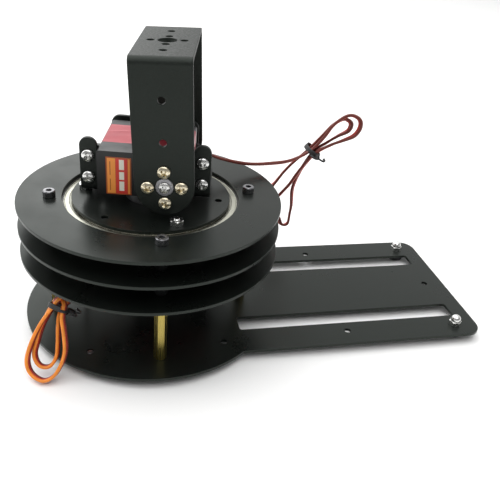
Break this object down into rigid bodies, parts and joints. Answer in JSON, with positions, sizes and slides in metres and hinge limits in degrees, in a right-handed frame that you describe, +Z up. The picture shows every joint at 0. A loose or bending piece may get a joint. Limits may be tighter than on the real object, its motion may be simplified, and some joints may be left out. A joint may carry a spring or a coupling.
{
  "type": "pan tilt camera mount",
  "caption": "Two-servo turntable on a tailed base: a disc on a thin ball bearing pans, and a U bracket on it tilts to carry a camera.",
  "frame": {"origin": "on the ground, below the middle of the base's length and width", "axes": "+Z up, +X along the base's tail, +Y to the left of the tail"},
  "size_m": [0.223, 0.12, 0.1345],
  "materials": {
    "bearing_steel": "polished",
    "black_anodised": "satin black anodised",
    "bracket_black": "fine satin black",
    "bracket_grained": "fine grained black powder coat",
    "brass": "turned",
    "cage_brass": "pressed",
    "circuit_board": "solder mask",
    "dark_steel": "zinc",
    "gear_brass": "cut",
    "gold_screws": "yellow zinc",
    "horn_black": "black anodised",
    "lead_wire": "soft insulation in three colours",
    "motor_can": "plated",
    "nickel_steel": "nickel plated",
    "plug_black": "moulded",
    "rubber": "matte",
    "servo_plastic": "moulded",
    "servo_red": "red anodised",
    "shield_steel": "satin",
    "spacer_black": "satin black anodised",
    "spacer_grey": "turned",
    "tie_black": "soft"
  },
  "bodies": {
    "base": {"base_plate": "black_anodised", "rubber_feet": "rubber", "base_screws": "nickel_steel", "foot_cap_nuts": "nickel_steel", "brass_standoffs": "brass", "servo_plate": "black_anodised", "lower_spacers": "spacer_black", "bearing_plate": "black_anodised", "upper_spacers": "spacer_black", "top_ring": "black_anodised", "stack_screws": "dark_steel", "bearing_outer_race": "bearing_steel", "bearing_shields": "shield_steel", "pan_servo_bottom_case": "servo_plastic", "pan_servo_middle_case": "servo_red", "pan_servo_top_case": "servo_plastic", "pan_servo_motor": "motor_can", "pan_servo_board": "circuit_board", "pan_servo_case_screws": "nickel_steel", "pan_servo_screws": "nickel_steel", "pan_lead_grommet": "rubber", "pan_lead": "lead_wire", "pan_lead_plug": "plug_black", "pan_lead_tie": "tie_black"},
    "ball_cage": {"bearing_cage": "cage_brass", "bearing_balls": "bearing_steel"},
    "turntable": {"bearing_inner_race": "bearing_steel", "pan_disc": "black_anodised", "clamp_disc": "black_anodised", "clamp_fasteners": "nickel_steel", "hub_spacers": "spacer_grey", "pan_horn": "horn_black", "pan_output_shaft": "gear_brass", "pan_horn_screws": "nickel_steel", "servo_bracket": "bracket_black", "tilt_servo_bottom_case": "servo_plastic", "tilt_servo_middle_case": "servo_red", "tilt_servo_top_case": "servo_plastic", "tilt_servo_motor": "motor_can", "tilt_servo_board": "circuit_board", "tilt_servo_case_screws": "nickel_steel", "tilt_servo_screws": "nickel_steel", "idler_screw": "nickel_steel", "tilt_lead_grommet": "rubber", "tilt_lead": "lead_wire", "tilt_lead_plug": "plug_black", "tilt_lead_tie": "tie_black"},
    "tilt_frame": {"u_bracket": "bracket_grained", "tilt_horn": "horn_black", "tilt_output_shaft": "gear_brass", "tilt_horn_screws": "gold_screws", "idler_bearing": "bearing_steel"},
    "pan_pinion_body": {"pan_pinion": "gear_brass"},
    "pan_gear_1_body": {"pan_gear_1": "gear_brass"},
    "pan_gear_2_body": {"pan_gear_2": "gear_brass"},
    "pan_gear_3_body": {"pan_gear_3": "gear_brass"},
    "tilt_pinion_body": {"tilt_pinion": "gear_brass"},
    "tilt_gear_1_body": {"tilt_gear_1": "gear_brass"},
    "tilt_gear_2_body": {"tilt_gear_2": "gear_brass"},
    "tilt_gear_3_body": {"tilt_gear_3": "gear_brass"}
  },
  "joints": [
    {"name": "pan", "type": "hinge", "parent": "base", "child": "turntable", "pos_m": [-0.0515, 0, 0.0645], "axis": [0, 0, 1], "range_deg": [-77.9, 102.1]},
    {"name": "tilt", "type": "hinge", "parent": "turntable", "child": "tilt_frame", "pos_m": [-0.04338, -0.00174, 0.0805], "axis": [0.2096, 0.9778, 0], "range_deg": [-87.2, 82.8]},
    {"name": "cage_spin", "type": "hinge", "parent": "base", "child": "ball_cage", "pos_m": [-0.0515, 0, 0.058], "axis": [0, 0, 1], "range_deg": [-36.6, 48]},
    {"name": "pan_gear_3_spin", "type": "hinge", "parent": "base", "child": "pan_gear_3_body", "pos_m": [-0.0415, 0, 0.043], "axis": [0, 0, 1], "range_deg": [-329, 252]},
    {"name": "pan_gear_2_spin", "type": "hinge", "parent": "base", "child": "pan_gear_2_body", "pos_m": [-0.0515, 0, 0.043], "axis": [0, 0, 1], "range_deg": [-992, 1299]},
    {"name": "pan_gear_1_spin", "type": "hinge", "parent": "base", "child": "pan_gear_1_body", "pos_m": [-0.0415, 0, 0.043], "axis": [0, 0, 1], "range_deg": [-5179, 3952]},
    {"name": "pan_pinion_spin", "type": "hinge", "parent": "base", "child": "pan_pinion_body", "pos_m": [-0.0315, 0, 0.043], "axis": [0, 0, 1], "range_deg": [-15793, 20698]},
    {"name": "tilt_gear_3_spin", "type": "hinge", "parent": "turntable", "child": "tilt_gear_3_body", "pos_m": [-0.05484, -0.00747, 0.0805], "axis": [0.2096, 0.9778, 0], "range_deg": [-268, 282]},
    {"name": "tilt_gear_2_spin", "type": "hinge", "parent": "turntable", "child": "tilt_gear_2_body", "pos_m": [-0.04506, -0.00956, 0.0805], "axis": [0.2096, 0.9778, 0], "range_deg": [-1110, 1054]},
    {"name": "tilt_gear_1_spin", "type": "hinge", "parent": "turntable", "child": "tilt_gear_1_body", "pos_m": [-0.05484, -0.00747, 0.0805], "axis": [0.2096, 0.9778, 0], "range_deg": [-4201, 4424]},
    {"name": "tilt_pinion_spin", "type": "hinge", "parent": "turntable", "child": "tilt_pinion_body", "pos_m": [-0.06462, -0.00537, 0.0805], "axis": [0.2096, 0.9778, 0], "range_deg": [-17678, 16786]}
  ],
  "couplings": [
    {"joint": "cage_spin", "follows": "pan", "ratio": 0.4633},
    {"joint": "pan_gear_3_spin", "follows": "pan", "ratio": -3.1667},
    {"joint": "pan_gear_2_spin", "follows": "pan", "ratio": 12.667},
    {"joint": "pan_gear_1_spin", "follows": "pan", "ratio": -50.667},
    {"joint": "pan_pinion_spin", "follows": "pan", "ratio": 202.67},
    {"joint": "tilt_gear_3_spin", "follows": "tilt", "ratio": -3.1667},
    {"joint": "tilt_gear_2_spin", "follows": "tilt", "ratio": 12.667},
    {"joint": "tilt_gear_1_spin", "follows": "tilt", "ratio": -50.667},
    {"joint": "tilt_pinion_spin", "follows": "tilt", "ratio": 202.67}
  ]
}
